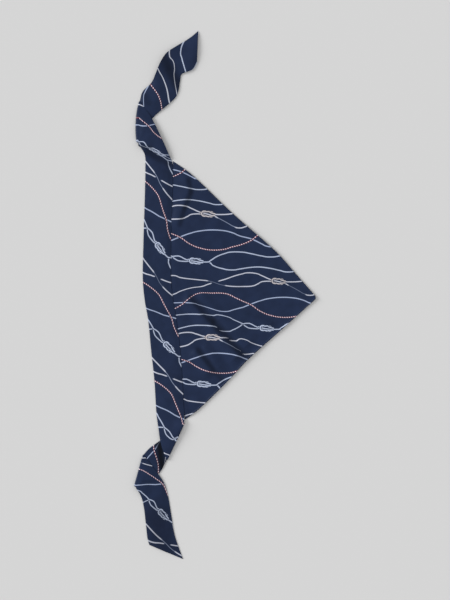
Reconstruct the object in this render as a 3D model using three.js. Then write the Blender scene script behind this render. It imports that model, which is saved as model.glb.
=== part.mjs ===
// Silk neck scarf laid flat: a triangular panel sewn to a long tie band.
// Units are millimetres, +Z up. The origin is the middle of the footprint, on the table.
// The band's two loose ends, the ties, are each turned over twice where they leave the panel.
import * as THREE from 'three';
import { mergeVertices } from 'three/addons/utils/BufferGeometryUtils.js';

// Cloth thicknesses: the panel is one layer with a rolled hem, the band is folded double.
const PANEL_THICKNESS = 1.0;
const BAND_THICKNESS = 1.6;
const SEAM_GAP = 0.4;

// Heights: the table, and the middle of the band's cloth on it and where it lies over itself.
const TABLE = 0;
const LOW = BAND_THICKNESS / 2;
const HIGH = 5.0;

// Mesh fineness
const BAND_FACES_ACROSS = 6;
const BAND_STEP = 9;
const FACES_ROUND_A_TURN = 6;
const PANEL_FACES_OUT = 28;
const PANEL_FACES_ALONG = 32;

// Rungs across the band, from the upper end to the lower one, a table for each stretch between turns.
// The left edge is the band's outer, folded edge, and the right one is the edge sewn to the panel.
const RUNG_COLUMNS = ['leftX', 'leftY', 'leftZ', 'rightX', 'rightY', 'rightZ', 'bow'];

const UPPER_TIE = [
  [-44.4, 370.4, 1.2, -42.3, 421.6, 1.2, 1.5],
  [-50.8, 360, 1.6, -52.4, 412.8, 1.8, 1.5],
  [-60.4, 356, 2.2, -62.8, 405.6, 2.6, 0.8],
  [-69.2, 352, 1.2, -77.2, 396.8, 4.6, -0.6],
  [-71.6, 340, LOW, -92.4, 386.4, 6.0, -1.2],
  [-73.7, 327.2, 1.2, -102.8, 371.2, 6.4, -1.6],
  [-78, 316, 1.0, -109.2, 356, 5.5, -1.0],
  [-94, 300.8, 1.6, -116.4, 338.4, 3.0, 1.5],
  [-115.6, 281.6, LOW, -130, 323.2, 1.5, 0.8],
  [-138, 243, LOW, -134, 308, LOW, 0.0],
];

const UPPER_CROSSING = [
  [-138, 243, HIGH, -134, 308, HIGH, 0.0],
  [-138, 241, HIGH, -116, 281, HIGH, 1.0],
  [-138, 240, HIGH, -99, 246, HIGH, 1.5],
  [-138, 238, HIGH, -87, 219, 3.5, 1.5],
];

const NECK_BAND = [
  [-135, 236, 1.6, -85.3, 215.5, LOW, 0.0],
  [-128, 224, LOW, -83.5, 209, LOW, 0.0],
  [-127, 200, LOW, -83, 198, LOW, 0.8],
  [-128, 151, LOW, -84, 151, LOW, 0.8],
  [-130, 87, LOW, -86, 87, LOW, 0.0],
  [-131, 23, LOW, -86, 23, LOW, 0.8],
  [-128, -9, LOW, -83, -6, LOW, 0.0],
  [-121, -41, LOW, -78, -36, LOW, 0.8],
  [-116, -89, LOW, -72, -82, LOW, 0.0],
  [-112, -137, LOW, -68, -134, LOW, 0.8],
  [-109, -193, LOW, -65.5, -178, LOW, 0.8],
  [-106, -214, 2.0, -64.8, -192, 1.2, 0.5],
  [-103, -234, 4.0, -64.8, -200, 3.4, 0.5],
  [-98, -251, 4.2, -65, -203, 4.4, 0.5],
  [-92.5, -264, 3.2, -66, -204.5, HIGH, 0.0],
];

const LOWER_CROSSING = [
  [-92.5, -264, LOW, -66, -204.5, LOW, 0.0],
  [-107, -285, LOW, -104, -234, LOW, 0.0],
  [-126, -297, LOW, -116, -246, LOW, 0.0],
  [-142.5, -307, LOW, -126.5, -257.5, LOW, 0.0],
];

const LOWER_TIE = [
  [-142.5, -307, HIGH, -126.5, -257.5, HIGH, 0.0],
  [-140, -312, HIGH, -116, -274, HIGH, 1.0],
  [-136, -318, 3.4, -107, -286, 4.2, 1.5],
  [-132, -328, 1.2, -97, -302, 1.6, 1.5],
  [-129, -343, LOW, -91, -321, LOW, 1.2],
  [-126, -369, LOW, -85, -356, LOW, 0.8],
  [-123, -393, LOW, -80, -385, LOW, 0.8],
  [-120, -400, LOW, -67, -421, LOW, 0.8],
];

// The panel's two hemmed edges, from the seam to the blunt corner where they meet
const UPPER_HEM = [[-82.5, 213], [-56, 194], [13, 129], [84, 66], [116, 30], [144.9, -3]];
const LOWER_HEM = [[-63.4, -200], [-43, -184.5], [8, -135], [36, -105], [93, -54], [145.3, -7]];
const SEAM_ROWS = [1, 12];

// Creases that stand up from the panel, each a straight stretch
const CREASES = [
  { from: [-52, 186], to: [-56, 151], height: 2.2, halfWidth: 9 },
  { from: [-56, 151], to: [-72, 116], height: 2.6, halfWidth: 9 },
  { from: [-51, -6], to: [-14, -54], height: 4.0, halfWidth: 10 },
  { from: [-14, -54], to: [39, -101], height: 5.0, halfWidth: 11 },
  { from: [-40, -80], to: [-17, -123], height: 2.6, halfWidth: 8 },
  { from: [40, -18], to: [80, -45], height: 1.4, halfWidth: 10 },
];
const CREASE_END_TAPER = 14;

function toRung(row) {
  const rung = Object.fromEntries(RUNG_COLUMNS.map((name, index) => [name, row[index]]));
  return {
    left: new THREE.Vector3(rung.leftX, rung.leftY, rung.leftZ),
    right: new THREE.Vector3(rung.rightX, rung.rightY, rung.rightZ),
    bow: rung.bow,
  };
}

// Smooth rungs along one stretch, about BAND_STEP apart on the longer edge.
function stretchRungs(table) {
  const rungs = table.map(toRung);
  const leftEdge = new THREE.CatmullRomCurve3(rungs.map((rung) => rung.left));
  const rightEdge = new THREE.CatmullRomCurve3(rungs.map((rung) => rung.right));
  const smooth = [];
  for (let index = 0; index < rungs.length - 1; index += 1) {
    const here = rungs[index];
    const next = rungs[index + 1];
    const reach = Math.max(here.left.distanceTo(next.left), here.right.distanceTo(next.right));
    const steps = Math.max(1, Math.round(reach / BAND_STEP));
    for (let step = 0; step < steps; step += 1) {
      const share = (index + step / steps) / (rungs.length - 1);
      smooth.push({
        left: leftEdge.getPoint(share),
        right: rightEdge.getPoint(share),
        bow: THREE.MathUtils.lerp(here.bow, next.bow, step / steps),
      });
    }
  }
  smooth.push(rungs[rungs.length - 1]);
  return smooth;
}

// Rungs round the half circle that joins two layers at a crease, bulging away from the cloth.
function turnRungs(before, last, first) {
  const crease = last.right.clone().sub(last.left).setZ(0).normalize();
  const travel = last.left.clone().add(last.right).sub(before.left).sub(before.right).setZ(0);
  const outward = travel.addScaledVector(crease, -travel.dot(crease)).normalize();
  const leftRadius = Math.abs(first.left.z - last.left.z) / 2;
  const rightRadius = Math.abs(first.right.z - last.right.z) / 2;
  const round = [];
  for (let step = 1; step < FACES_ROUND_A_TURN; step += 1) {
    const angle = (Math.PI * step) / FACES_ROUND_A_TURN;
    const share = (1 - Math.cos(angle)) / 2;
    const bulge = Math.sin(angle);
    round.push({
      left: last.left.clone().lerp(first.left, share).addScaledVector(outward, leftRadius * bulge),
      right: last.right.clone().lerp(first.right, share).addScaledVector(outward, rightRadius * bulge),
      bow: 0,
    });
  }
  return round;
}

function bandRungs() {
  const upperTie = stretchRungs(UPPER_TIE);
  const upperCrossing = stretchRungs(UPPER_CROSSING);
  const neckBand = stretchRungs(NECK_BAND);
  const lowerCrossing = stretchRungs(LOWER_CROSSING);
  const lowerTie = stretchRungs(LOWER_TIE);
  return [
    ...upperTie,
    ...turnRungs(upperTie.at(-2), upperTie.at(-1), upperCrossing[0]),
    ...upperCrossing,
    ...neckBand,
    ...turnRungs(neckBand.at(-2), neckBand.at(-1), lowerCrossing[0]),
    ...lowerCrossing,
    ...turnRungs(lowerCrossing.at(-2), lowerCrossing.at(-1), lowerTie[0]),
    ...lowerTie,
  ];
}

function bandSurface() {
  return bandRungs().map(({ left, right, bow }) => {
    const row = [];
    for (let step = 0; step <= BAND_FACES_ACROSS; step += 1) {
      const share = step / BAND_FACES_ACROSS;
      const point = left.clone().lerp(right, share);
      point.z += bow * 4 * share * (1 - share);
      row.push(point);
    }
    return row;
  });
}

// Height of the panel's cloth over the table at one point, from the creases near it.
function creaseHeight(x, y) {
  let height = 0;
  for (const crease of CREASES) {
    const [fromX, fromY] = crease.from;
    const [toX, toY] = crease.to;
    const length = Math.hypot(toX - fromX, toY - fromY);
    const alongX = (toX - fromX) / length;
    const alongY = (toY - fromY) / length;
    const along = (x - fromX) * alongX + (y - fromY) * alongY;
    const across = Math.abs((x - fromX) * alongY - (y - fromY) * alongX);
    const past = Math.max(0, -along, along - length);
    const fade = Math.max(0, 1 - past / CREASE_END_TAPER);
    const share = Math.min(1, across / crease.halfWidth);
    height = Math.max(height, crease.height * fade * fade * (1 - share * share) ** 2);
  }
  return height;
}

function flatCurve(points) {
  return new THREE.CatmullRomCurve3(points.map(([x, y]) => new THREE.Vector3(x, y, 0)));
}

// The panel's sewn edge, which keeps a seam's gap from the band's right edge.
function seamCurve() {
  const [firstRow, endRow] = SEAM_ROWS;
  const rungs = NECK_BAND.slice(firstRow, endRow).map(toRung);
  const top = [UPPER_HEM[0][0], UPPER_HEM[0][1]];
  const bottom = [LOWER_HEM[0][0], LOWER_HEM[0][1]];
  const middle = rungs.map((rung) => [rung.right.x + SEAM_GAP, rung.right.y]);
  return flatCurve([top, ...middle.slice(1, -1), bottom]);
}

function panelSurface() {
  const seam = seamCurve();
  const upperHem = flatCurve(UPPER_HEM);
  const lowerHem = flatCurve(LOWER_HEM);
  const surface = [];
  for (let out = 0; out <= PANEL_FACES_OUT; out += 1) {
    const outShare = out / PANEL_FACES_OUT;
    const upper = upperHem.getPointAt(outShare);
    const lower = lowerHem.getPointAt(outShare);
    const seamPull = (1 - outShare) ** 2;
    const row = [];
    for (let along = 0; along <= PANEL_FACES_ALONG; along += 1) {
      const share = along / PANEL_FACES_ALONG;
      const seamPoint = seam.getPointAt(share);
      const chordPoint = seam.getPoint(0).lerp(seam.getPoint(1), share);
      const point = upper.clone().lerp(lower, share);
      point.addScaledVector(seamPoint.sub(chordPoint), seamPull);
      point.z = PANEL_THICKNESS / 2 + creaseHeight(point.x, point.y);
      row.push(point);
    }
    surface.push(row);
  }
  return surface;
}

function surfaceNormal(surface, row, column) {
  const lastRow = surface.length - 1;
  const lastColumn = surface[0].length - 1;
  const down = surface[Math.min(row + 1, lastRow)][column].clone();
  down.sub(surface[Math.max(row - 1, 0)][column]);
  const across = surface[row][Math.min(column + 1, lastColumn)].clone();
  across.sub(surface[row][Math.max(column - 1, 0)]);
  return down.cross(across).normalize();
}

// A closed sheet of even thickness about a surface of points, pressed flat where it meets the table.
function sheetGeometry(surface, thickness) {
  const rows = surface.length;
  const columns = surface[0].length;
  const positions = [];
  for (const side of [1, -1]) {
    surface.forEach((points, row) => {
      points.forEach((point, column) => {
        const normal = surfaceNormal(surface, row, column);
        const skin = point.clone().addScaledVector(normal, (side * thickness) / 2);
        positions.push(skin.x, skin.y, Math.max(TABLE, skin.z));
      });
    });
  }
  const front = (row, column) => row * columns + column;
  const back = (row, column) => rows * columns + front(row, column);
  const indices = [];
  const quad = (a, b, c, d) => indices.push(a, b, c, a, c, d);
  for (let row = 0; row < rows - 1; row += 1) {
    for (let column = 0; column < columns - 1; column += 1) {
      quad(front(row, column), front(row + 1, column), front(row + 1, column + 1), front(row, column + 1));
      quad(back(row, column), back(row, column + 1), back(row + 1, column + 1), back(row + 1, column));
    }
    const last = columns - 1;
    quad(front(row, 0), back(row, 0), back(row + 1, 0), front(row + 1, 0));
    quad(front(row, last), front(row + 1, last), back(row + 1, last), back(row, last));
  }
  for (let column = 0; column < columns - 1; column += 1) {
    const last = rows - 1;
    quad(front(0, column), front(0, column + 1), back(0, column + 1), back(0, column));
    quad(front(last, column), back(last, column), back(last, column + 1), front(last, column + 1));
  }
  const geometry = new THREE.BufferGeometry();
  geometry.setAttribute('position', new THREE.Float32BufferAttribute(positions, 3));
  geometry.setIndex(indices);
  const merged = mergeVertices(geometry, 1e-4);
  merged.computeVertexNormals();
  return merged;
}

function clothMesh(name, surface, thickness, colour) {
  const material = new THREE.MeshStandardMaterial({ color: colour, roughness: 0.42, metalness: 0.0 });
  const mesh = new THREE.Mesh(sheetGeometry(surface, thickness), material);
  mesh.name = name;
  return mesh;
}

const scarf = new THREE.Group();
scarf.add(clothMesh('triangle_panel', panelSurface(), PANEL_THICKNESS, 0x232f49));
scarf.add(clothMesh('tie_band', bandSurface(), BAND_THICKNESS, 0x263250));

export default scarf;
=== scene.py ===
import math
from collections import namedtuple

import bmesh
import bpy
from bpy.props import FloatProperty, FloatVectorProperty, PointerProperty
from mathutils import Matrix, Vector, noise


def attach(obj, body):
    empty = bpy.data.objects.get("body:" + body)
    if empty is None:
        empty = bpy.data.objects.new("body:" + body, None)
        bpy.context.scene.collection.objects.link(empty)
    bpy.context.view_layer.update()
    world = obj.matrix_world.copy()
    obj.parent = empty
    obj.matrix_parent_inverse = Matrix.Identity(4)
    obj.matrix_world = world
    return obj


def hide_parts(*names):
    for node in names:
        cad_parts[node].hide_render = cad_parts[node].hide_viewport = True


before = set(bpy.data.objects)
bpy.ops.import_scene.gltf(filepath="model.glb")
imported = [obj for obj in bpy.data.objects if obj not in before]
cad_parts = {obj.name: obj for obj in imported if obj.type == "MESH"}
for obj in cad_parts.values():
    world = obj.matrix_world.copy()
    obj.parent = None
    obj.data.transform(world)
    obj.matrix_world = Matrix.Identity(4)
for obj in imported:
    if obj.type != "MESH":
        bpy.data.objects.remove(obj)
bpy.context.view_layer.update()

bl_info = {
    "name": "Silk neck scarf",
    "version": (1, 0, 0),
    "blender": (4, 5, 0),
    "location": "View3D > Sidebar > Scarf",
    "description": "Builds a triangular silk scarf on a long tie band, laid flat with its ties turned over",
    "category": "Add Mesh",
}

# Tables of places are in millimetres in the object's own frame, and MM turns them into metres.
MM = 0.001

# Heights of the band's cloth: on the table, and where it lies over itself
LOW = 0.8
HIGH = 5.0

# Rungs across the band from the upper end to the lower one, a table for each stretch between turns.
# The left edge is the cloth's fold and the right one the sewn edge. The last two columns say how far
# along the printed cloth each end of the rung lies.
RUNG_COLUMNS = (
    "left_x", "left_y", "left_z", "right_x", "right_y", "right_z", "bow", "left_print", "right_print",
)
UPPER_TIE = (
    (-44.4, 370.4, 1.2, -42.3, 421.6, 1.2, 1.5, 427, 446),
    (-50.8, 360, 1.6, -52.4, 412.8, 1.8, 1.5, 424, 441),
    (-60.4, 356, 2.2, -62.8, 405.6, 2.6, 0.8, 420, 434),
    (-69.2, 352, 1.2, -77.2, 396.8, 4.6, -0.6, 407, 420),
    (-71.6, 340, LOW, -92.4, 386.4, 6.0, -1.2, 386, 403),
    (-73.7, 327.2, 1.2, -102.8, 371.2, 6.4, -1.6, 373, 386),
    (-78, 316, 1.0, -109.2, 356, 5.5, -1.0, 361, 370),
    (-94, 300.8, 1.6, -117, 339, 3.0, 1.5, 343, 354),
    (-115.6, 281.6, LOW, -131.5, 324, 1.5, 0.8, 310, 331),
    (-138.5, 243, LOW, -136, 309, LOW, 0.0, 261, 312),
)
UPPER_CROSSING = (
    (-138.5, 243, HIGH, -136, 309, 2.5, 0.0, 261, 312),
    (-138, 241, HIGH, -117, 282, 4.0, 1.0, 260.5, 284),
    (-138, 240, HIGH, -99, 246, HIGH, 1.5, 258, 234),
    (-138, 239, HIGH, -91, 228, 4.4, 1.5, 255, 222),
    (-138, 238, HIGH, -87, 219, 3.5, 1.5, 246, 207),
)
NECK_BAND = (
    (-135, 236, 1.6, -85.3, 215.5, LOW, 0.0, 234, 216),
    (-128, 224, LOW, -83.5, 209, LOW, 0.0, 224, 209),
    (-127, 200, LOW, -83, 198, LOW, 0.8, 200, 198),
    (-128, 151, LOW, -84, 151, LOW, 0.8, 151, 151),
    (-130, 87, LOW, -86, 87, LOW, 0.0, 88, 87),
    (-131, 23, LOW, -86, 23, LOW, 0.8, 30, 22),
    (-128, -9, LOW, -83, -6, LOW, 0.0, -3, -7),
    (-122.5, -41, LOW, -78, -36, LOW, 0.8, -35, -37),
    (-117.8, -89, LOW, -72, -82, LOW, 0.0, -82, -81),
    (-112.6, -137, LOW, -68, -134, LOW, 0.8, -127, -131),
    (-109, -193, LOW, -65.5, -178, LOW, 0.8, -187, -174),
    (-106, -214, 2.0, -64.8, -192, 1.2, 0.5, -207, -186),
    (-103, -234, 4.0, -64.8, -200, 3.4, 0.5, -226, -195),
    (-98, -251, 3.6, -65, -203, 4.4, 0.5, -243, -200),
    (-92.5, -264, 2.3, -66, -204.5, HIGH, 0.0, -259, -209),
)
LOWER_CROSSING = (
    (-92.5, -264, LOW, -66, -204.5, LOW, 0.0, -259, -209),
    (-105, -285.5, LOW, -107, -236, LOW, 0.0, -281, -262),
    (-126, -297, LOW, -121, -246.5, LOW, 0.0, -303, -279),
    (-142.5, -307, LOW, -130, -256.5, LOW, 0.0, -328, -286),
)
LOWER_TIE = (
    (-142.5, -307, HIGH, -130, -256.5, 2.4, 0.0, -328, -286),
    (-140, -312, HIGH, -116, -274, 2.4, 1.0, -336, -310),
    (-136, -318, 3.4, -107, -286, 2.2, 1.5, -344, -328),
    (-132, -328, 1.2, -97, -302, 1.4, 1.5, -355, -348),
    (-129, -343, LOW, -91, -321, LOW, 1.2, -375, -367),
    (-126, -369, LOW, -85, -356, LOW, 0.8, -403, -400),
    (-123, -393, LOW, -80, -385, LOW, 0.8, -423, -429),
    (-120.5, -400.5, LOW, -67, -423, LOW, 0.8, -428, -470),
)

# How far the band is puffed out at the middle of its upper turn
UPPER_TURN_PUFF = 3.2

# The faces round each edge of the band, the thickness that its sewn edge loses, and over which shares
# of its width it does so
ROUND_EDGE_FACES = 3
SEWN_EDGE_PRESS = 0.7
SEWN_EDGE_SPAN = (0.8, 0.97)

# The least height of the band's skin, and how near two of its vertices lie to become one
TABLE_CLEARANCE = 0.05
WELD_DISTANCE = 0.02

# How far to the left of the band's middle its cloth is folded, at places along the print
FOLD_SLIDES = (
    (-470, 7), (-400, 7), (-340, 4.5), (-285, 5), (-250, 3.5), (-60, 3), (0, 2), (60, 0), (385, 0),
    (425, -4),
)

# The panel's two hemmed edges, from the seam to the blunt corner where they meet
UPPER_HEM = ((-82.5, 213), (-56, 194), (13, 129), (84, 66), (116, 30), (144.9, -3))
LOWER_HEM = ((-63.4, -200), (-43, -184.5), (8, -135), (36, -105), (93, -54), (145.3, -7))

# How far the seam is tucked under the band, and which of the band's rungs lie beside it
SEAM_TUCK = 1.0
RUNGS_BESIDE_PANEL = slice(2, 11)

# The panel's reach along the seam and away from it, the depth of its faces against their length, and
# how many go across a hem
PANEL_WIDTH = 412
PANEL_DEPTH = 230
FACE_DEPTH_SHARE = 0.8
HEM_FACES = 4

# The panel's height at the seam, how much it rises past it and over which shares of its depth, and the
# share over which the seam holds loose cloth down
SEWN_HEIGHT = 0.15
SEWN_RISE = 0.45
SEWN_RISE_SPAN = (0.004, 0.03)
SEAM_HOLD_SHARE = 0.1

# The rolled hem's height, how far it holds the cloth off the table and how far in that reaches, and
# how far from the edge the creases and the cloth's crown grow to their full height
HEM_RISE = 0.7
HEM_LIFT = 2.0
HEM_LIFT_REACH = 9
CREASE_HEM_SPAN = (2, 14)
CROWN_HEM_REACH = 25

# How high loose cloth stands, and its soft unevenness: the size and height of lumps, and a seed
CLOTH_CROWN = 0.4
Lumps = namedtuple("Lumps", "size height seed")
BAND_LUMPS = (Lumps(26, 0.7, 1.5), Lumps(11, 0.25, 7.5))
PANEL_LUMPS = (Lumps(42, 0.9, 3.5), Lumps(17, 0.35, 9.5))
HEM_LUMPS = Lumps(60, 1.6, 12.5)

# Creases that stand up from the panel, each a straight stretch. The two widths are how far it spreads
# to its right and its left, as seen going along it.
CREASE_COLUMNS = ("from_x", "from_y", "to_x", "to_y", "height", "right_width", "left_width")
CREASES = (
    (-63, 184, -59, 164, 2.0, 20, 9),
    (-59, 164, -69, 138, 2.2, 18, 9),
    (-69, 138, -76, 114, 2.0, 14, 9),
    (-58, -10, -26, -49, 4.2, 18, 8),
    (-26, -49, 20, -98, 4.6, 20, 10),
    (-38, -2, -8, -38, 1.6, 8, 18),
    (-8, -38, 34, -82, 2.2, 9, 20),
    (-47, -92, -24, -122, 3.0, 16, 8),
    (-32, -84, -10, -116, 1.6, 6, 14),
    (36, -22, 74, -46, 1.4, 12, 9),
)
CREASE_END_TAPER = 14

# Where little light comes deep into a fold: straight soft-edged streaks on one stretch of the scarf,
# each with how wide it spreads and how much darker it is in its middle.
SHADE_COLUMNS = ("stretch", "from_x", "from_y", "to_x", "to_y", "spread", "depth")
FOLD_SHADES = (
    ("panel", -58, 182, -54, 164, 7, 0.30),
    ("panel", -54, 164, -64, 138, 7, 0.30),
    ("panel", -64, 138, -72, 113, 7, 0.28),
    ("panel", -54, -4, -19, -43, 8, 0.34),
    ("panel", -19, -43, 37, -105, 10, 0.42),
    ("panel", -42, -88, -5, -136, 8, 0.34),
    ("panel", 34, -26, 72, -46, 9, 0.14),
    ("panel", -65, -153, -59, -193, 8, 0.12),
    ("upper_tie", -97, 376, -74, 333, 14, 0.50),
    ("upper_tie", -128, 318, -122, 306, 9, 0.25),
    ("upper_crossing", -138, 239, -118, 233, 7, 0.35),
    ("neck_band", -124, 227, -89, 209, 9, 0.42),
    ("neck_band", -91, 209, -96, 190, 9, 0.15),
    ("neck_band", -89, 196, -88, 66, 5, 0.13),
    ("neck_band", -88, -129, -68, -134, 7, 0.12),
    ("lower_crossing", -105, -238, -100, -276, 11, 0.88),
    ("lower_tie", -131, -298, -112, -298, 3, 0.12),
    ("lower_tie", -110, -352, -99, -415, 38, 0.36),
)

# The two ends of the line where the panel's main fold takes cloth in, how much it takes in, and the
# ways along the fold and across it over which that comes about
MAIN_FOLD = ((-60, -4), (46, -112))
TAKEN_IN = Vector((7.2, 18.4))
FOLD_START_SPAN = (-24, 28)
GATHER_SPAN = (-34, 3)

# The share that is hidden in the fold and so makes the print jump, and where along the fold it grows
HIDDEN_SHARE = 0.25
HIDDEN_SPAN = (32, 64)

# How far down the panel its lower part begins, how much more is taken in sideways there, and how much
# the print above it is turned, to the left of a line
LOWER_PART_SPAN = (85, 115)
LOWER_TAKEN_IN = 5
PRINT_TURN = 0.14
PRINT_TURN_START = -20

# The print's repeat as it was charted: x to the right and y down it, from the middle of a knot.
# One unit of the chart is 1.6 mm of cloth, and the next column of the print drops by half a repeat.
CHART_UNIT = 1.6
REPEAT_WIDTH = 141 * CHART_UNIT
REPEAT_HEIGHT = 134.6 * CHART_UNIT
CHART_START = -23 * CHART_UNIT
LOOP_ROPE_TOP = (
    (-23, -4.5), (-17.5, -5), (-15.5, -4.5), (-10.5, -2), (-7.5, -1), (12, 1), (15, -0.5), (22.5, -5),
    (29.5, -7.5), (36.5, -9), (44.5, -9), (54.5, -7.5), (66.5, -5), (74.5, -4), (83.5, -5), (92, -9),
    (100, -10), (108, -8), (118, -4.5),
)
LOOP_ROPE_BOTTOM = (
    (-23, -4.5), (-19.5, -1.5), (-15.5, 0), (-7.5, 0.5), (12, 1), (17.5, 4.5), (26.5, 7.5), (36.5, 9),
    (44.5, 8), (54.5, 6.5), (62.5, 6), (72.5, 7), (84.5, 9.5), (92.5, 11), (99.5, 10), (106, 6),
    (112, 1), (118, -4.5),
)
KNOTTED_ROPE_TOP = (
    (-23, -54.6), (-18, -55.5), (-11, -55), (-4, -52.5), (4, -49), (18.5, -45), (22.5, -43),
    (27, -40.7), (33, -37.4), (38, -34.6), (44, -33), (49, -34), (55, -36.5), (65, -39), (75, -41),
    (83, -44), (93, -47), (100, -49), (110, -52.5), (118, -54.6),
)
KNOTTED_ROPE_BOTTOM = (
    (-23, -41.8), (-16, -42), (-8, -44.5), (-1, -47), (18.5, -46.5), (29, -46.5), (37.5, -47.5),
    (47, -52.8), (55, -50.8), (65, -49.3), (75, -48.3), (82, -47.6), (100, -42.8), (110, -41.8),
    (118, -41.8),
)
DOTTED_ROPE = (
    (-23, -27), (-15.5, -23.7), (-5.5, -17), (4.5, -13), (16, -11), (26, -11.3), (36.5, -14),
    (44.5, -16), (54.5, -20), (60, -24), (66, -28.6), (72, -32), (80, -34.3), (90, -35.3),
    (100, -34.8), (105, -33.3), (110, -30.8), (118, -27),
)
SINGLE_ROPE = (
    (-23, -21), (-15.5, -24), (-5.5, -27.6), (4.5, -30), (16, -31), (26.5, -30.5), (36, -28.5),
    (44.5, -25), (54.5, -22.5), (60.5, -20), (66.5, -17), (72.5, -14.5), (80, -13.8), (88, -14),
    (100, -16), (110, -19), (118, -21),
)
LOOP_KNOT = (0, 0)
KNOTTED_ROPE_KNOT = (12, -47)

# Where a charted rope is faint: from one x to another, and the share of it that is lost
KNOTTED_ROPE_TOP_FAINT = ((22.5, 39.5, 0.45), (87, 93, 1.0))
KNOTTED_ROPE_BOTTOM_FAINT = ((83, 100, 0.45),)

# What a faint rope loses of its half width, in millimetres, and how far its colour turns to the single
# rope's, both at a loss of 1, and how softly that begins
FAINT_THINNING = 0.9
FAINT_BLUENESS = 2.0
FAINT_SOFTNESS = 2.0

# How soft a rope's rim is, and where the clear ground beside a rope that lies over another ends
ROPE_SOFTNESS = 0.3
ROPE_CLEARING = (1.1, 0.6)

# The dotted rope's lay against the others', how soft its dots are, and how much of the ground the
# strands of the others cover
DOTTED_LAY = 1.35
DOT_SOFTNESS = 0.3
STRAND_CONTRAST = 0.12
STRAND_COVER = 0.86

# The printed knot: its tilt in degrees, half its length, the middle of each bight's round end, the
# radius there and at the tails, and the span over which the one becomes the other
KNOT_TILT = 6
KNOT_HALF_LENGTH = 12.5
KNOT_END_SOFTNESS = 0.4
BIGHT_MIDDLE = 5.5
BIGHT_RADIUS = 4.0
TAIL_RADIUS = 1.4
TAIL_SPAN = (3.0, 17.5)

# Where the knot's rope and the clear ground round it end, and half the length of the knot's middle,
# where the second bight lies over the first
KNOT_ROPE_RIM = (1.2, 0.6)
KNOT_CLEAR_RIM = (1.9, 1.4)
KNOT_CROSSING = 3.0

# The silk's twill, in millimetres, and the greys that its colour is multiplied by
TWILL_RIB = 0.7
TWILL_DEPTH = 0.04
CLOUD_DARKEST = (0.92, 0.92, 0.92, 1)
CLOUD_LIGHTEST = (1.08, 1.08, 1.08, 1)

# The way to the soft key light, and the camera's place over the scarf in metres
KEY_WAY = (-0.93, 0.37, 0.42)
CAMERA_MIDDLE = (0.0004, -0.0088)

# How far the print's axes are moved from the object's, and the folded band's width
PANEL_PRINT_SHIFT = Vector((46.8, -53.6))
BAND_PRINT_SHIFT = Vector((-27.2, -75.2))
BAND_WIDTH = 45.3

Rung = namedtuple("Rung", "left right bow stretch")
Rope = namedtuple("Rope", "points half_width lay colour strand faint")


def linear(red, green, blue):
    """Linear colour of an sRGB one given from 0 to 255."""
    parts = (red / 255, green / 255, blue / 255)
    return tuple(c / 12.92 if c <= 0.04045 else ((c + 0.055) / 1.055) ** 2.4 for c in parts)


class ScarfSizes(bpy.types.PropertyGroup):
    """Lengths that drive the cloth and its print."""

    face_length: FloatProperty(
        name="Face length", description="Length of one mesh face along the cloth",
        default=0.0022, min=0.001, max=0.01, unit="LENGTH",
    )
    band_half: FloatProperty(
        name="Band half thickness", description="Half the thickness of the folded band",
        default=0.0006, min=0.0002, max=0.002, unit="LENGTH",
    )
    panel_thickness: FloatProperty(
        name="Panel thickness", description="Thickness of the single layer of the panel",
        default=0.0004, min=0.0001, max=0.002, unit="LENGTH",
    )
    hem_width: FloatProperty(
        name="Hem width", description="Width of the panel's rolled hem",
        default=0.0026, min=0.001, max=0.008, unit="LENGTH",
    )
    rope_width: FloatProperty(
        name="Rope width", description="Width of a printed rope",
        default=0.00175, min=0.001, max=0.01, unit="LENGTH",
    )
    rope_lay: FloatProperty(
        name="Rope lay", description="Length of one turn of a printed rope's strands",
        default=0.0027, min=0.001, max=0.01, unit="LENGTH",
    )
    camera_height: FloatProperty(
        name="Camera height", description="Height of the camera over the table",
        default=2.4, min=0.5, max=10, unit="LENGTH",
    )


class ScarfColours(bpy.types.PropertyGroup):
    """Colours of the silk, its print and the table."""

    ground: FloatVectorProperty(
        name="Ground", description="Navy ground of the silk",
        default=(0.0135, 0.0235, 0.0590), subtype="COLOR", min=0, max=1,
    )
    pale: FloatVectorProperty(
        name="Pale rope", description="Pale blue of the looped ropes",
        default=linear(184, 195, 218), subtype="COLOR", min=0, max=1,
    )
    cream: FloatVectorProperty(
        name="Cream rope", description="Cream grey of the knotted ropes",
        default=linear(202, 206, 220), subtype="COLOR", min=0, max=1,
    )
    knot: FloatVectorProperty(
        name="Cream knot", description="Cream of the knot in the knotted ropes",
        default=linear(196, 190, 192), subtype="COLOR", min=0, max=1,
    )
    lavender: FloatVectorProperty(
        name="Lavender rope", description="Dull blue of the single rope",
        default=linear(171, 184, 213), subtype="COLOR", min=0, max=1,
    )
    coral: FloatVectorProperty(
        name="Coral rope", description="Coral of the dotted rope",
        default=linear(112, 40, 52), subtype="COLOR", min=0, max=1,
    )
    strand: FloatVectorProperty(
        name="Dotted strand", description="Pale strand laid round the dotted rope",
        default=linear(234, 220, 228), subtype="COLOR", min=0, max=1,
    )
    table: FloatVectorProperty(
        name="Table", description="Pale grey of the table the scarf lies on",
        default=(0.66, 0.66, 0.66), subtype="COLOR", min=0, max=1,
    )


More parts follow.
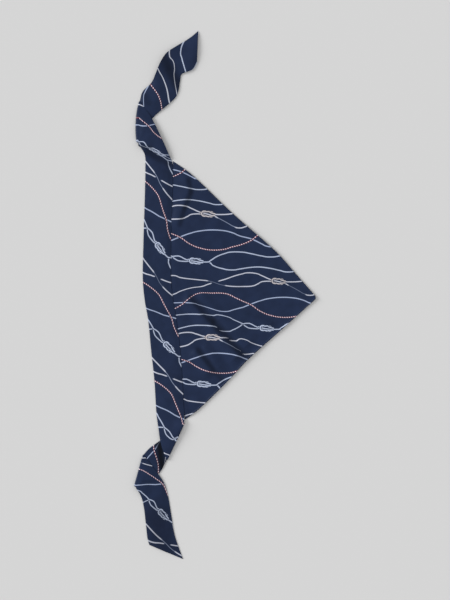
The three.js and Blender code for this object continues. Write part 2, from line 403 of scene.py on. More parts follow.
def through_points(points, share):
    """The place at that share of a smooth line through the points (centripetal Catmull-Rom)."""
    last = len(points) - 1
    place = min(max(share, 0.0) * last, last - 1e-9)
    index = int(place)
    t = place - index
    here, there = points[index], points[index + 1]
    before = points[index - 1] if index > 0 else here * 2 - there
    after = points[index + 2] if index + 2 <= last else there * 2 - here
    gaps = [
        max(math.sqrt((end - start).to_3d().length), 1e-4)
        for start, end in ((before, here), (here, there), (there, after))
    ]
    chord = there - here
    leave = chord + ((here - before) / gaps[0] - (there - before) / (gaps[0] + gaps[1])) * gaps[1]
    arrive = chord + ((after - there) / gaps[2] - (after - here) / (gaps[1] + gaps[2])) * gaps[1]
    return (
        here * (2 * t ** 3 - 3 * t ** 2 + 1)
        + leave * (t ** 3 - 2 * t ** 2 + t)
        + there * (3 * t ** 2 - 2 * t ** 3)
        + arrive * (t ** 3 - t ** 2)
    )


def even_line(points, count=400):
    """A smooth line through flat points as many places, each with how far along the line it lies."""
    corners = [Vector((x, y, 0)) for x, y in points]
    places = [through_points(corners, index / count) for index in range(count + 1)]
    distances = [0.0]
    for start, end in zip(places, places[1:]):
        distances.append(distances[-1] + (end - start).length)
    return places, distances


def at_length(line, share):
    """The place at that share of a line's length."""
    places, distances = line
    wanted = min(max(share, 0.0), 1.0) * distances[-1]
    low, high = 0, len(places) - 1
    while high - low > 1:
        middle = (low + high) // 2
        if distances[middle] <= wanted:
            low = middle
        else:
            high = middle
    gap = distances[high] - distances[low]
    return places[low].lerp(places[high], (wanted - distances[low]) / gap if gap else 0.0)


def smooth_step(low, high, value):
    """0 below low, 1 above high, and an even curve between them."""
    share = min(max((value - low) / (high - low), 0.0), 1.0)
    return share * share * (3 - 2 * share)


def rung_from(row, stretch):
    """A row of a rung table as two points of four numbers, the last one the place along the print."""
    value = dict(zip(RUNG_COLUMNS, row))
    left = Vector((value["left_x"], value["left_y"], value["left_z"], value["left_print"]))
    right = Vector((value["right_x"], value["right_y"], value["right_z"], value["right_print"]))
    return Rung(left, right, Vector((0, 0, value["bow"], 0)), stretch)


def stretch_rungs(stretch, table, step):
    """Smooth rungs along one stretch, about step millimetres apart on its longer edge."""
    rungs = [rung_from(row, stretch) for row in table]
    lefts = [rung.left for rung in rungs]
    rights = [rung.right for rung in rungs]
    last = len(rungs) - 1
    smooth = []
    for index in range(last):
        here, there = rungs[index], rungs[index + 1]
        reach = max((there.left - here.left).to_3d().length, (there.right - here.right).to_3d().length)
        count = max(1, round(reach / step))
        for part in range(count):
            share = (index + part / count) / last
            bow = here.bow + (there.bow - here.bow) * smooth_step(0, 1, part / count)
            smooth.append(Rung(through_points(lefts, share), through_points(rights, share), bow, stretch))
    smooth.append(rungs[-1])
    return smooth


def turn_rungs(before, last, first, puff=0.0, faces=10):
    """Rungs round the half circle that joins two layers at a crease, puffed out at its middle."""
    crease = (last.right - last.left).to_3d()
    crease.z = 0
    crease.normalize()
    travel = (last.left + last.right - before.left - before.right).to_3d()
    travel.z = 0
    outward = (travel - crease * travel.dot(crease)).normalized().to_4d()
    outward[3] = 0
    left_radius = abs(first.left.z - last.left.z) / 2
    right_radius = abs(first.right.z - last.right.z) / 2
    rungs = []
    for part in range(1, faces):
        angle = math.pi * part / faces
        share = (1 - math.cos(angle)) / 2
        bulge = outward * math.sin(angle)
        left = last.left.lerp(first.left, share) + bulge * left_radius
        right = last.right.lerp(first.right, share) + bulge * right_radius
        rungs.append(Rung(left, right, bulge * puff, first.stretch))
    return rungs


def between_rungs(here, there, shares):
    """Rungs on the straight way from one rung to another."""
    rungs = []
    for share in shares:
        left = here.left.lerp(there.left, share)
        right = here.right.lerp(there.right, share)
        bow = here.bow.lerp(there.bow, share)
        rungs.append(Rung(left, right, bow, there.stretch))
    return rungs


def band_rungs(step):
    """Every rung of the band, from the end of its upper tie to the end of its lower one."""
    upper_tie = stretch_rungs("upper_tie", UPPER_TIE, step)
    upper_crossing = stretch_rungs("upper_crossing", UPPER_CROSSING, step)
    neck_band = stretch_rungs("neck_band", NECK_BAND, step)
    lower_crossing = stretch_rungs("lower_crossing", LOWER_CROSSING, step)
    lower_tie = stretch_rungs("lower_tie", LOWER_TIE, step)
    return (
        upper_tie[:1] + between_rungs(upper_tie[0], upper_tie[1], (0.25, 0.5)) + upper_tie[1:]
        + turn_rungs(upper_tie[-2], upper_tie[-1], upper_crossing[0], UPPER_TURN_PUFF)
        + upper_crossing
        + between_rungs(upper_crossing[-1], neck_band[0], (0.33, 0.67))
        + neck_band
        + turn_rungs(neck_band[-2], neck_band[-1], lower_crossing[0])
        + lower_crossing
        + turn_rungs(lower_crossing[-2], lower_crossing[-1], lower_tie[0])
        + lower_tie[:-1] + between_rungs(lower_tie[-2], lower_tie[-1], (0.5, 0.75)) + lower_tie[-1:]
    )


def band_section(width, half, step):
    """Places across one layer: the share from its fold, and how much of half it is off the middle."""
    round_edge = []
    for part in range(ROUND_EDGE_FACES + 1):
        angle = math.pi / 2 * part / ROUND_EDGE_FACES
        round_edge.append((half * (1 - math.cos(angle)), math.sin(angle)))
    inner = width - 2 * half
    count = round(inner / step)
    flat = [(half + inner * index / count, 1.0) for index in range(1, count)]
    far_edge = [(width - distance, lift) for distance, lift in reversed(round_edge)]
    return [(distance / width, lift) for distance, lift in round_edge + flat + far_edge]


def ripple(place, lumps):
    """Soft unevenness of the cloth at one place, in millimetres."""
    return lumps.height * noise.noise(Vector((place.x / lumps.size, place.y / lumps.size, lumps.seed)))


def band_middle(rungs, section):
    """The middle surface of the folded band, a row of points for each rung."""
    surface = []
    for rung in rungs:
        row = []
        for share, _ in section:
            point = rung.left.lerp(rung.right, share)
            hump = 4 * share * (1 - share)
            point += rung.bow * hump
            point.z += hump * (CLOTH_CROWN + sum(ripple(point, lumps) for lumps in BAND_LUMPS))
            row.append(point)
        surface.append(row)
    return surface


def surface_normal(surface, row, column):
    """The way a grid of points faces at one of them."""
    last_row, last_column = len(surface) - 1, len(surface[0]) - 1
    down = surface[min(row + 1, last_row)][column] - surface[max(row - 1, 0)][column]
    across = surface[row][min(column + 1, last_column)] - surface[row][max(column - 1, 0)]
    return down.to_3d().cross(across.to_3d()).normalized()


def grid_mesh(rows, columns):
    """A flat bmesh grid whose vertices are in order of row and column."""
    bm = bmesh.new()
    bmesh.ops.create_grid(bm, x_segments=columns - 1, y_segments=rows - 1, size=1)
    bm.verts.ensure_lookup_table()
    return bm


def print_faces(bm, place):
    """Writes where each face corner lies on the printed cloth, in metres, to the UV map named print."""
    layer = bm.loops.layers.uv.new("print")
    for face in bm.faces:
        centre = face.calc_center_median() / MM
        for loop in face.loops:
            loop[layer].uv = place(loop.vert, centre) * MM


def fold_shade(point, stretch):
    """How much darker the cloth of one stretch is at a point, deep in a fold."""
    light = 1.0
    for row in FOLD_SHADES:
        streak = dict(zip(SHADE_COLUMNS, row))
        if streak["stretch"] != stretch:
            continue
        start = Vector((streak["from_x"], streak["from_y"]))
        way = Vector((streak["to_x"], streak["to_y"])) - start
        offset = point.to_2d() - start
        share = min(max(offset.dot(way) / way.length_squared, 0.0), 1.0)
        away = (offset - way * share).length / streak["spread"]
        if away < 1:
            light *= 1 - streak["depth"] * (1 - away * away) ** 2
    return 1 - light


def shade_vertices(bm, shade):
    """Writes how much darker each vertex is to the attribute named fold shade."""
    layer = bm.verts.layers.float.new("fold shade")
    for vertex in bm.verts:
        vertex[layer] = shade(vertex)


def finish_piece(name, bm, material):
    """Turns a bmesh into an object of the scene that moves with the scarf."""
    mesh = bpy.data.meshes.new(name)
    bm.to_mesh(mesh)
    bm.free()
    mesh.materials.append(material)
    mesh.shade_smooth()
    piece = bpy.data.objects.new(name, mesh)
    bpy.context.scene.collection.objects.link(piece)
    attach(piece, "root")
    return piece


def fold_slide(along):
    """The slide of the band's fold at one place along the print."""
    for (start, low), (end, high) in zip(FOLD_SLIDES, FOLD_SLIDES[1:]):
        if along < end:
            return low + (high - low) * smooth_step(start, end, along)
    return FOLD_SLIDES[-1][1]


def band_print(share, along, side):
    """Where a point of the band lies on the cloth before it was cut on the slant and folded."""
    across = share * BAND_WIDTH * side + fold_slide(along) + BAND_PRINT_SHIFT.x
    down = along + BAND_PRINT_SHIFT.y
    return Vector((across - down, across + down)) * math.sqrt(0.5)


def build_band(sizes, material):
    """The long band of cloth folded in half along its left edge, sewn along its right one."""
    rungs = band_rungs(sizes.face_length / MM)
    half = sizes.band_half / MM
    section = band_section(BAND_WIDTH, half, sizes.face_length / MM)
    middle = band_middle(rungs, section)
    last = len(section) - 1
    under = [(column, -1) for column in range(last, -1, -1)]
    over = [(column, 1) for column in range(1, last + 1)]
    around = under + over
    bm = grid_mesh(len(middle), len(around))
    prints = {}
    shades = {}
    for row, points in enumerate(middle):
        closing = 0.0 if row in (0, len(middle) - 1) else 1.0
        for place, (column, side) in enumerate(around):
            point = points[column]
            share, lift = section[column]
            normal = surface_normal(middle, row, column)
            pressed = 1 - SEWN_EDGE_PRESS * smooth_step(*SEWN_EDGE_SPAN, share)
            skin = point.to_3d() + normal * (side * half * lift * closing * pressed)
            skin.z = max(skin.z, TABLE_CLEARANCE)
            vertex = bm.verts[row * len(around) + place]
            vertex.co = skin * MM
            prints[vertex.index] = band_print(share, point.w, side)
            shades[vertex.index] = fold_shade(point, rungs[row].stretch)
    print_faces(bm, lambda vertex, _: prints[vertex.index])
    shade_vertices(bm, lambda vertex: shades[vertex.index])
    bmesh.ops.remove_doubles(bm, verts=bm.verts, dist=WELD_DISTANCE * MM)
    bmesh.ops.recalc_face_normals(bm, faces=bm.faces)
    piece = finish_piece("tie_band_cloth", bm, material)
    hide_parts("tie_band")
    return piece


def crease_height(x, y):
    """Height of the panel's cloth over the table at one point, from the creases near it."""
    height = 0.0
    for row in CREASES:
        crease = dict(zip(CREASE_COLUMNS, row))
        start = Vector((crease["from_x"], crease["from_y"]))
        way = Vector((crease["to_x"], crease["to_y"])) - start
        length = way.length
        way.normalize()
        offset = Vector((x, y)) - start
        along = offset.dot(way)
        across = way.y * offset.x - way.x * offset.y
        width = crease["right_width"] if across > 0 else crease["left_width"]
        past = max(0.0, -along, along - length)
        fade = max(0.0, 1 - past / CREASE_END_TAPER)
        share = min(1.0, abs(across) / width)
        height = max(height, crease["height"] * fade * fade * (1 - share * share) ** 2)
    return height


def seam_line():
    """The panel's sewn edge, tucked a little way under the band's right edge."""
    rights = [rung_from(row, "neck_band").right for row in NECK_BAND[RUNGS_BESIDE_PANEL]]
    middle = [(right.x - SEAM_TUCK, right.y) for right in rights]
    return (UPPER_HEM[0], *middle, LOWER_HEM[0])


def hem_columns(length, hem, step):
    """Shares along one line from hem to hem, close together in up to a quarter of it at each."""
    near = [hem * part / HEM_FACES for part in range(HEM_FACES + 2)]
    count = round((PANEL_WIDTH - 2 * near[-1]) / step)
    scale = min(1.0, length / (4 * near[-1]))
    edge = [distance * scale / length for distance in near]
    gap = 1 - 2 * edge[-1]
    middle = [edge[-1] + gap * index / count for index in range(count + 1)]
    far_edge = [1 - share for share in reversed(edge[:-1])]
    return edge[:-1] + middle + far_edge


def hem_height(distance, hem):
    """Height of the rolled hem over the cloth, at that distance from the panel's edge."""
    if distance >= hem:
        return 0.0
    return HEM_RISE * math.sqrt(max(0.0, 1 - (2 * distance / hem - 1) ** 2))


def hem_lift(place, distance):
    """How far the stiff hem holds the cloth near it off the table, unevenly along its length."""
    return (HEM_LIFT + ripple(place, HEM_LUMPS)) * math.exp(-distance / HEM_LIFT_REACH)


def panel_height(point, edge, out, hem):
    """Height of the panel over the table at a point that lies edge from a hem and out from the seam."""
    off_seam = smooth_step(0, SEAM_HOLD_SHARE, out)
    crown = CLOTH_CROWN + sum(ripple(point, lumps) for lumps in PANEL_LUMPS)
    height = SEWN_HEIGHT + SEWN_RISE * smooth_step(*SEWN_RISE_SPAN, out)
    height += crease_height(point.x, point.y) * smooth_step(*CREASE_HEM_SPAN, edge)
    height += hem_height(edge, hem)
    height += off_seam * (crown * smooth_step(0, CROWN_HEM_REACH, edge) + hem_lift(point, edge))
    return height


def fold_place(point):
    """How far a point lies along the panel's main fold, and how far below and to the left of it."""
    start, end = (Vector(corner) for corner in MAIN_FOLD)
    way = (end - start).normalized()
    offset = point - start
    return offset.dot(way), way.y * offset.x - way.x * offset.y


def panel_print(vertex, centre):
    """Where a point of the panel lies on the printed cloth, some of which the main fold takes in."""
    point = vertex.co.xy / MM
    along, across = fold_place(point)
    below = fold_place(centre.xy)[1] > 0
    hidden = HIDDEN_SHARE * smooth_step(*HIDDEN_SPAN, along)
    gathered = (1 - hidden) * smooth_step(*GATHER_SPAN, across) + hidden * below
    lower = smooth_step(*LOWER_PART_SPAN, -point.y)
    turned = PRINT_TURN * max(0.0, PRINT_TURN_START - point.x) * (1 - lower)
    taken_in = Vector((TAKEN_IN.x + LOWER_TAKEN_IN * lower, TAKEN_IN.y - turned))
    return point + PANEL_PRINT_SHIFT - taken_in * smooth_step(*FOLD_START_SPAN, along) * gathered


def build_panel(sizes, material):
    """The three-cornered panel: one layer of cloth with a rolled hem on its two free edges."""
    step = sizes.face_length / MM
    hem = sizes.hem_width / MM
    seam = even_line(seam_line())
    upper_hem = even_line(UPPER_HEM)
    lower_hem = even_line(LOWER_HEM)
    rows = round(PANEL_DEPTH / (FACE_DEPTH_SHARE * step))
    columns = len(hem_columns(PANEL_WIDTH, hem, step))
    bm = grid_mesh(rows, columns)
    for row in range(rows):
        out = row / (rows - 1)
        upper = at_length(upper_hem, out)
        lower = at_length(lower_hem, out)
        length = (lower - upper).length
        for column, share in enumerate(hem_columns(length, hem, step)):
            chord = seam[0][0].lerp(seam[0][-1], share)
            point = upper.lerp(lower, share) + (at_length(seam, share) - chord) * (1 - out) ** 2
            edge = min(share, 1 - share) * length
            point.z = panel_height(point, edge, out, hem)
            bm.verts[row * columns + column].co = point * MM
    print_faces(bm, panel_print)
    shade_vertices(bm, lambda vertex: fold_shade(vertex.co / MM, "panel"))
    bmesh.ops.recalc_face_normals(bm, faces=bm.faces)
    bm.faces.ensure_lookup_table()
    if bm.faces[len(bm.faces) // 2].normal.z < 0:
        bmesh.ops.reverse_faces(bm, faces=bm.faces)
    piece = finish_piece("triangle_panel_cloth", bm, material)
    thick = piece.modifiers.new("cloth thickness", "SOLIDIFY")
    thick.thickness = sizes.panel_thickness
    thick.offset = 0.5
    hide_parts("triangle_panel")
    return piece


class Sums:
    """Writes shader arithmetic as calls on one node tree, a node for each call."""

    def __init__(self, tree):
        self.tree = tree

    def node(self, kind, **settings):
        made = self.tree.nodes.new(kind)
        for name, value in settings.items():
            setattr(made, name, value)
        return made

    def feed(self, socket, value):
        if isinstance(value, bpy.types.NodeSocket):
            self.tree.links.new(value, socket)
        else:
            socket.default_value = value

    def math(self, operation, *values):
        node = self.node("ShaderNodeMath", operation=operation)
        for socket, value in zip(node.inputs, values):
            self.feed(socket, value)
        return node.outputs[0]

    def add(self, first, second):
        return self.math("ADD", first, second)

    def subtract(self, first, second):
        return self.math("SUBTRACT", first, second)

    def times(self, first, second):
        return self.math("MULTIPLY", first, second)

    def step(self, value, low, high):
        """0 at low and 1 at high, whichever of them is the greater, with a soft way between."""
        node = self.node("ShaderNodeMapRange", interpolation_type="SMOOTHSTEP")
        rising = low < high
        self.feed(node.inputs["Value"], value)
        self.feed(node.inputs["From Min"], low if rising else high)
        self.feed(node.inputs["From Max"], high if rising else low)
        self.feed(node.inputs["To Min"], 0.0 if rising else 1.0)
        self.feed(node.inputs["To Max"], 1.0 if rising else 0.0)
        return node.outputs["Result"]

    def window(self, value, start, end, soft):
        """1 between start and end and 0 outside them."""
        begun = self.step(value, start - soft, start + soft)
        unended = self.step(value, end + soft, end - soft)
        return self.times(begun, unended)

    def mix(self, amount, first, second):
        node = self.node("ShaderNodeMix", data_type="RGBA")
        self.feed(node.inputs["Factor"], amount)
        self.feed(node.inputs["A"], first)
        self.feed(node.inputs["B"], second)
        return node.outputs["Result"]

    def curve(self, share, heights):
        """The height of a charted line at that share of its width. heights are pairs from 0 to 1."""
        node = self.node("ShaderNodeFloatCurve")
        line = node.mapping.curves[0]
        line.points[0].location = heights[0]
        line.points[-1].location = heights[-1]
        for place in heights[1:-1]:
            line.points.new(*place)
        node.mapping.update()
        self.feed(node.inputs["Value"], share)
        return node.outputs["Value"]


def new_group(name, inputs, outputs):
    """An empty node group with the sockets named, and the Sums and end nodes to fill it."""
    tree = bpy.data.node_groups.new(name, "ShaderNodeTree")
    for label, kind in inputs:
        tree.interface.new_socket(label, in_out="INPUT", socket_type=kind)
    for label, kind in outputs:
        tree.interface.new_socket(label, in_out="OUTPUT", socket_type=kind)
    sums = Sums(tree)
    return tree, sums, sums.node("NodeGroupInput"), sums.node("NodeGroupOutput")


def rope_distance(sums, x, y, points):
    """Distance in millimetres above a charted rope's middle line, or below it where negative."""
    heights = [-py * CHART_UNIT for _, py in points]
    margin = 1
    low, high = min(heights) - margin, max(heights) + margin
    pairs = [
        ((px * CHART_UNIT - CHART_START) / REPEAT_WIDTH, (height - low) / (high - low))
        for (px, _), height in zip(points, heights)
    ]
    ahead = 1.5
    share = sums.times(sums.subtract(x, CHART_START), 1 / REPEAT_WIDTH)
    here = sums.curve(share, pairs)
    there = sums.curve(sums.add(share, ahead / REPEAT_WIDTH), pairs)
    slope = sums.times(sums.subtract(there, here), (high - low) / ahead)
    centre = sums.add(sums.times(here, high - low), low)
    off = sums.math("WRAP", sums.subtract(y, centre), REPEAT_HEIGHT / 2, -REPEAT_HEIGHT / 2)
    stretch = sums.math("SQRT", sums.add(sums.times(slope, slope), 1.0))
    return sums.math("DIVIDE", off, stretch)


def knot_group():
    """A printed reef knot: two bights of rope, one through the other."""
    tree, sums, entry, leave = new_group(
        "printed knot", [("X", "NodeSocketFloat"), ("Y", "NodeSocketFloat")],
        [("Rope", "NodeSocketFloat"), ("Cover", "NodeSocketFloat")],
    )
    tilt = math.radians(KNOT_TILT)
    x, y = entry.outputs["X"], entry.outputs["Y"]
    along = sums.subtract(sums.times(x, math.cos(tilt)), sums.times(y, math.sin(tilt)))
    across = sums.add(sums.times(x, math.sin(tilt)), sums.times(y, math.cos(tilt)))
    inside = sums.window(along, -KNOT_HALF_LENGTH, KNOT_HALF_LENGTH, KNOT_END_SOFTNESS)
    ropes, outlines = [], []
    for facing in (1, -1):
        beyond = sums.add(sums.times(along, facing), BIGHT_MIDDLE)
        behind = sums.math("MINIMUM", beyond, 0.0)
        reach = sums.math("SQRT", sums.add(sums.times(behind, behind), sums.times(across, across)))
        tail = sums.step(beyond, *TAIL_SPAN)
        spread = sums.add(sums.times(tail, TAIL_RADIUS - BIGHT_RADIUS), BIGHT_RADIUS)
        gap = sums.math("ABSOLUTE", sums.subtract(reach, spread))
        ropes.append(sums.times(sums.step(gap, *KNOT_ROPE_RIM), inside))
        outlines.append(sums.times(sums.step(gap, *KNOT_CLEAR_RIM), inside))
    first, second = ropes
    centre = sums.window(along, -KNOT_CROSSING, KNOT_CROSSING, ROPE_SOFTNESS)
    second_over = sums.times(outlines[1], centre)
    first_over = sums.times(outlines[0], sums.subtract(1.0, centre))
    shown_first = sums.times(first, sums.subtract(1.0, second_over))
    shown_second = sums.times(second, sums.subtract(1.0, first_over))
    sums.feed(leave.inputs["Rope"], sums.math("MAXIMUM", shown_first, shown_second))
    sums.feed(leave.inputs["Cover"], sums.math("MAXIMUM", *outlines))
    return tree


def printed_ropes(sizes, colours):
    """The ropes of one repeat, from the one that lies lowest to the one on top."""
    half = sizes.rope_width / MM / 2
    lay = sizes.rope_lay / MM
    return (
        Rope(SINGLE_ROPE, half, lay, colours.lavender, None, ()),
        Rope(DOTTED_ROPE, half, DOTTED_LAY * lay, colours.coral, colours.strand, ()),
        Rope(KNOTTED_ROPE_BOTTOM, half, lay, colours.cream, None, KNOTTED_ROPE_BOTTOM_FAINT),
        Rope(KNOTTED_ROPE_TOP, half, lay, colours.cream, None, KNOTTED_ROPE_TOP_FAINT),
        Rope(LOOP_ROPE_BOTTOM, half, lay, colours.pale, None, ()),
        Rope(LOOP_ROPE_TOP, half, lay, colours.pale, None, ()),
    )


def rope_fading(sums, x, rope):
    """How much of a rope shows at x, and how faint it is there."""
    shown, faded = 1.0, 0.0
    for start, end, loss in rope.faint:
        part = sums.window(x, start * CHART_UNIT, end * CHART_UNIT, FAINT_SOFTNESS)
        lost = sums.times(part, loss)
        shown = sums.times(sums.subtract(1.0, lost), shown)
        faded = sums.math("MAXIMUM", lost, faded)
    return shown, faded


def rope_face(sums, rope, twist, distance, ground):
    """The colour of a rope's strands: pale dots on the dotted one, and a soft twist on the others."""
    if rope.strand:
        core = sums.step(distance, rope.half_width, 0.5 * rope.half_width)
        dash = sums.times(sums.step(twist, -DOT_SOFTNESS, DOT_SOFTNESS), core)
        return sums.mix(dash, (*rope.colour, 1), (*rope.strand, 1))
    cover = sums.add(sums.times(twist, STRAND_CONTRAST), STRAND_COVER)
    return sums.mix(cover, ground, (*rope.colour, 1))


def print_group(sizes, colours):
    """One copy of the printed repeat: its colour, and where it covers the ground."""
    tree, sums, entry, leave = new_group(
        "printed ropes", [("X", "NodeSocketFloat"), ("Y", "NodeSocketFloat")],
        [("Color", "NodeSocketColor"), ("Amount", "NodeSocketFloat")],
    )
    x = sums.math("WRAP", entry.outputs["X"], CHART_START + REPEAT_WIDTH, CHART_START)
    y = entry.outputs["Y"]
    ground = (*colours.ground, 1)
    colour = ground
    amount = 0.0
    for rope in printed_ropes(sizes, colours):
        off = rope_distance(sums, x, y, rope.points)
        distance = sums.math("ABSOLUTE", off)
        shown, faded = rope_fading(sums, x, rope)
        if rope.faint:
            distance = sums.add(distance, sums.times(faded, FAINT_THINNING))
        twist = sums.math("SINE", sums.times(sums.add(x, off), 2 * math.pi / rope.lay))
        lit = rope_face(sums, rope, twist, distance, ground)
        if rope.faint:
            lit = sums.mix(sums.times(faded, FAINT_BLUENESS), lit, (*colours.lavender, 1))
        half = rope.half_width
        clear_from, clear_to = ROPE_CLEARING
        outline = sums.times(sums.step(distance, half + clear_from, half + clear_to), shown)
        rim = sums.step(distance, half + ROPE_SOFTNESS, half - ROPE_SOFTNESS)
        body = sums.times(rim, shown)
        colour = sums.mix(outline, colour, ground)
        colour = sums.mix(body, colour, lit)
        amount = sums.math("MAXIMUM", sums.times(sums.subtract(1.0, outline), amount), body)
    knot = knot_group()
    for (place_x, place_y), rope_colour in ((LOOP_KNOT, colours.pale), (KNOTTED_ROPE_KNOT, colours.knot)):
        node = sums.node("ShaderNodeGroup", node_tree=knot)
        sums.feed(node.inputs["X"], sums.subtract(x, place_x * CHART_UNIT))
        off = sums.add(y, place_y * CHART_UNIT)
        sums.feed(node.inputs["Y"], sums.math("WRAP", off, REPEAT_HEIGHT / 2, -REPEAT_HEIGHT / 2))
        colour = sums.mix(node.outputs["Cover"], colour, ground)
        colour = sums.mix(node.outputs["Rope"], colour, (*rope_colour, 1))
        clear = sums.subtract(1.0, node.outputs["Cover"])
        amount = sums.math("MAXIMUM", sums.times(clear, amount), node.outputs["Rope"])
    sums.feed(leave.inputs["Color"], colour)
    sums.feed(leave.inputs["Amount"], amount)
    return tree


def cloth_shade(sums, place):
    """A slightly cloudy grey for the silk's colour, with painted shade deep in a fold."""
    cloudy = sums.node("ShaderNodeTexNoise")
    sums.feed(cloudy.inputs["Vector"], place.outputs["UV"])
    sums.feed(cloudy.inputs["Scale"], 60.0)
    share = sums.step(cloudy.outputs["Fac"], 0.3, 0.7)
    clouds = sums.mix(share, CLOUD_DARKEST, CLOUD_LIGHTEST)
    fold = sums.node("ShaderNodeAttribute", attribute_type="GEOMETRY", attribute_name="fold shade")
    return sums.mix(fold.outputs["Fac"], clouds, (0, 0, 0, 1))


def silk_material(sizes, colours):
    """Navy printed silk: the rope print in two half-dropped copies, a fine twill and a soft sheen."""
    material = bpy.data.materials.new("printed silk")
    material.use_nodes = True
    tree = material.node_tree
    tree.nodes.clear()
    sums = Sums(tree)
    place = sums.node("ShaderNodeUVMap", uv_map="print")
    parts = sums.node("ShaderNodeSeparateXYZ")
    sums.feed(parts.inputs["Vector"], place.outputs["UV"])
    x = sums.times(parts.outputs["X"], 1 / MM)
    y = sums.times(parts.outputs["Y"], 1 / MM)
    copies = []
    group = print_group(sizes, colours)
    for drop in (0.0, 0.5):
        node = sums.node("ShaderNodeGroup", node_tree=group)
        sums.feed(node.inputs["X"], sums.subtract(x, drop * REPEAT_WIDTH))
        sums.feed(node.inputs["Y"], sums.subtract(y, drop * REPEAT_HEIGHT))
        copies.append(node)
    first, second = copies
    colour = sums.mix(second.outputs["Amount"], first.outputs["Color"], second.outputs["Color"])
    tint = sums.node("ShaderNodeMix", data_type="RGBA", blend_type="MULTIPLY")
    sums.feed(tint.inputs["Factor"], 1.0)
    sums.feed(tint.inputs["A"], colour)
    sums.feed(tint.inputs["B"], cloth_shade(sums, place))
    rib = sums.math("SINE", sums.times(sums.add(x, y), 2 * math.pi / TWILL_RIB))
    bump = sums.node("ShaderNodeBump")
    sums.feed(bump.inputs["Strength"], 0.25)
    sums.feed(bump.inputs["Distance"], TWILL_DEPTH * MM)
    sums.feed(bump.inputs["Height"], rib)
    silk = sums.node("ShaderNodeBsdfPrincipled")
    sums.feed(silk.inputs["Base Color"], tint.outputs["Result"])
    sums.feed(silk.inputs["Roughness"], 0.42)
    sums.feed(silk.inputs["Specular IOR Level"], 0.1)
    sums.feed(silk.inputs["Sheen Weight"], 0.02)
    sums.feed(silk.inputs["Sheen Roughness"], 0.4)
    sums.feed(silk.inputs["Sheen Tint"], (0.5, 0.6, 1.0, 1))
    sums.feed(silk.inputs["Normal"], bump.outputs["Normal"])
    end = sums.node("ShaderNodeOutputMaterial")
    sums.feed(end.inputs["Surface"], silk.outputs["BSDF"])
    return material


def table_material(colours):
    """The plain pale table."""
    material = bpy.data.materials.new("pale table")
    material.use_nodes = True
    shader = material.node_tree.nodes["Principled BSDF"]
    shader.inputs["Base Color"].default_value = (*colours.table, 1)
    shader.inputs["Roughness"].default_value = 0.9
    shader.inputs["Specular IOR Level"].default_value = 0.1
    return material


def build_table(material):
    """A wide flat table under the scarf."""
    bm = bmesh.new()
    bmesh.ops.create_grid(bm, x_segments=1, y_segments=1, size=4)
    mesh = bpy.data.meshes.new("table")
    bm.to_mesh(mesh)
    bm.free()
    mesh.materials.append(material)
    table = bpy.data.objects.new("table", mesh)
    bpy.context.scene.collection.objects.link(table)
    return table


def build_lights():
    """A wide soft key light from the upper left, and even light from all round."""
    sun = bpy.data.lights.new("key", "SUN")
    sun.energy = 2.75
    sun.angle = math.radians(28)
    key = bpy.data.objects.new("key", sun)
    key.rotation_euler = Vector(KEY_WAY).to_track_quat("Z", "Y").to_euler()
    bpy.context.scene.collection.objects.link(key)
    world = bpy.data.worlds.new("even light")
    world.use_nodes = True
    background = world.node_tree.nodes["Background"]
    background.inputs["Color"].default_value = (1, 1, 1, 1)
    background.inputs["Strength"].default_value = 0.67
    bpy.context.scene.world = world
    bpy.context.scene.view_settings.view_transform = "Standard"
    return key


def build_camera(sizes):
    """A camera straight over the scarf."""
    lens = bpy.data.cameras.new("overhead")
    lens.sensor_width = 24
    lens.lens = 60
    camera = bpy.data.objects.new("overhead", lens)
    camera.location = (*CAMERA_MIDDLE, sizes.camera_height)
    bpy.context.scene.collection.objects.link(camera)
    bpy.context.scene.camera = camera
    return camera


def shared_silk(context):
    """The printed silk, made once for both pieces."""
    made = bpy.data.materials.get("printed silk")
    return made or silk_material(context.scene.scarf_sizes, context.scene.scarf_colours)


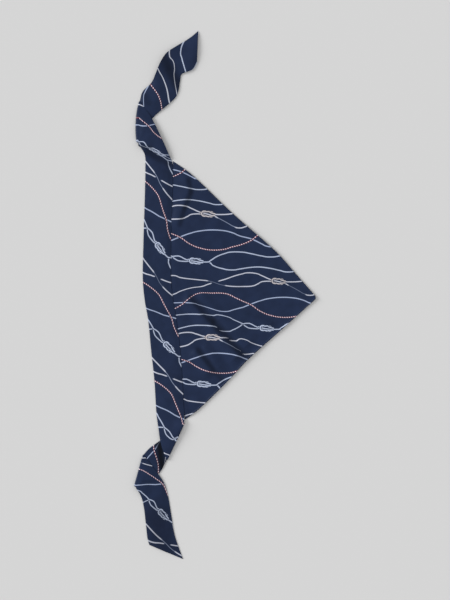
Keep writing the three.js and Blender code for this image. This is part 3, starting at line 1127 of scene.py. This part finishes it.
class SCARF_OT_tie_band(bpy.types.Operator):
    """Add the long folded band with its two ties"""

    bl_idname = "scarf.tie_band"
    bl_label = "Add tie band"

    def execute(self, context):
        build_band(context.scene.scarf_sizes, shared_silk(context))
        return {"FINISHED"}


class SCARF_OT_triangle_panel(bpy.types.Operator):
    """Add the three-cornered panel with its hems and creases"""

    bl_idname = "scarf.triangle_panel"
    bl_label = "Add triangle panel"

    def execute(self, context):
        build_panel(context.scene.scarf_sizes, shared_silk(context))
        return {"FINISHED"}


class SCARF_OT_stage(bpy.types.Operator):
    """Add the table, the lights and the camera"""

    bl_idname = "scarf.stage"
    bl_label = "Add stage"

    def execute(self, context):
        table = build_table(table_material(context.scene.scarf_colours))
        build_lights()
        build_camera(context.scene.scarf_sizes)
        return {"FINISHED"}


class SCARF_PT_sidebar(bpy.types.Panel):
    """Sizes, colours and buttons for the scarf"""

    bl_idname = "SCARF_PT_sidebar"
    bl_label = "Silk scarf"
    bl_space_type = "VIEW_3D"
    bl_region_type = "UI"
    bl_category = "Scarf"

    def draw(self, context):
        for group in (context.scene.scarf_sizes, context.scene.scarf_colours):
            box = self.layout.box()
            for name in group.__annotations__:
                box.prop(group, name)
        for operator in (SCARF_OT_tie_band, SCARF_OT_triangle_panel, SCARF_OT_stage):
            self.layout.operator(operator.bl_idname)


CLASSES = (
    ScarfSizes,
    ScarfColours,
    SCARF_OT_tie_band,
    SCARF_OT_triangle_panel,
    SCARF_OT_stage,
    SCARF_PT_sidebar,
)


def register():
    for cls in CLASSES:
        bpy.utils.register_class(cls)
    bpy.types.Scene.scarf_sizes = PointerProperty(type=ScarfSizes)
    bpy.types.Scene.scarf_colours = PointerProperty(type=ScarfColours)


def unregister():
    del bpy.types.Scene.scarf_colours
    del bpy.types.Scene.scarf_sizes
    for cls in reversed(CLASSES):
        bpy.utils.unregister_class(cls)


def main():
    register()
    bpy.ops.scarf.tie_band()
    bpy.ops.scarf.triangle_panel()
    bpy.ops.scarf.stage()


if __name__ == "__main__":
    main()
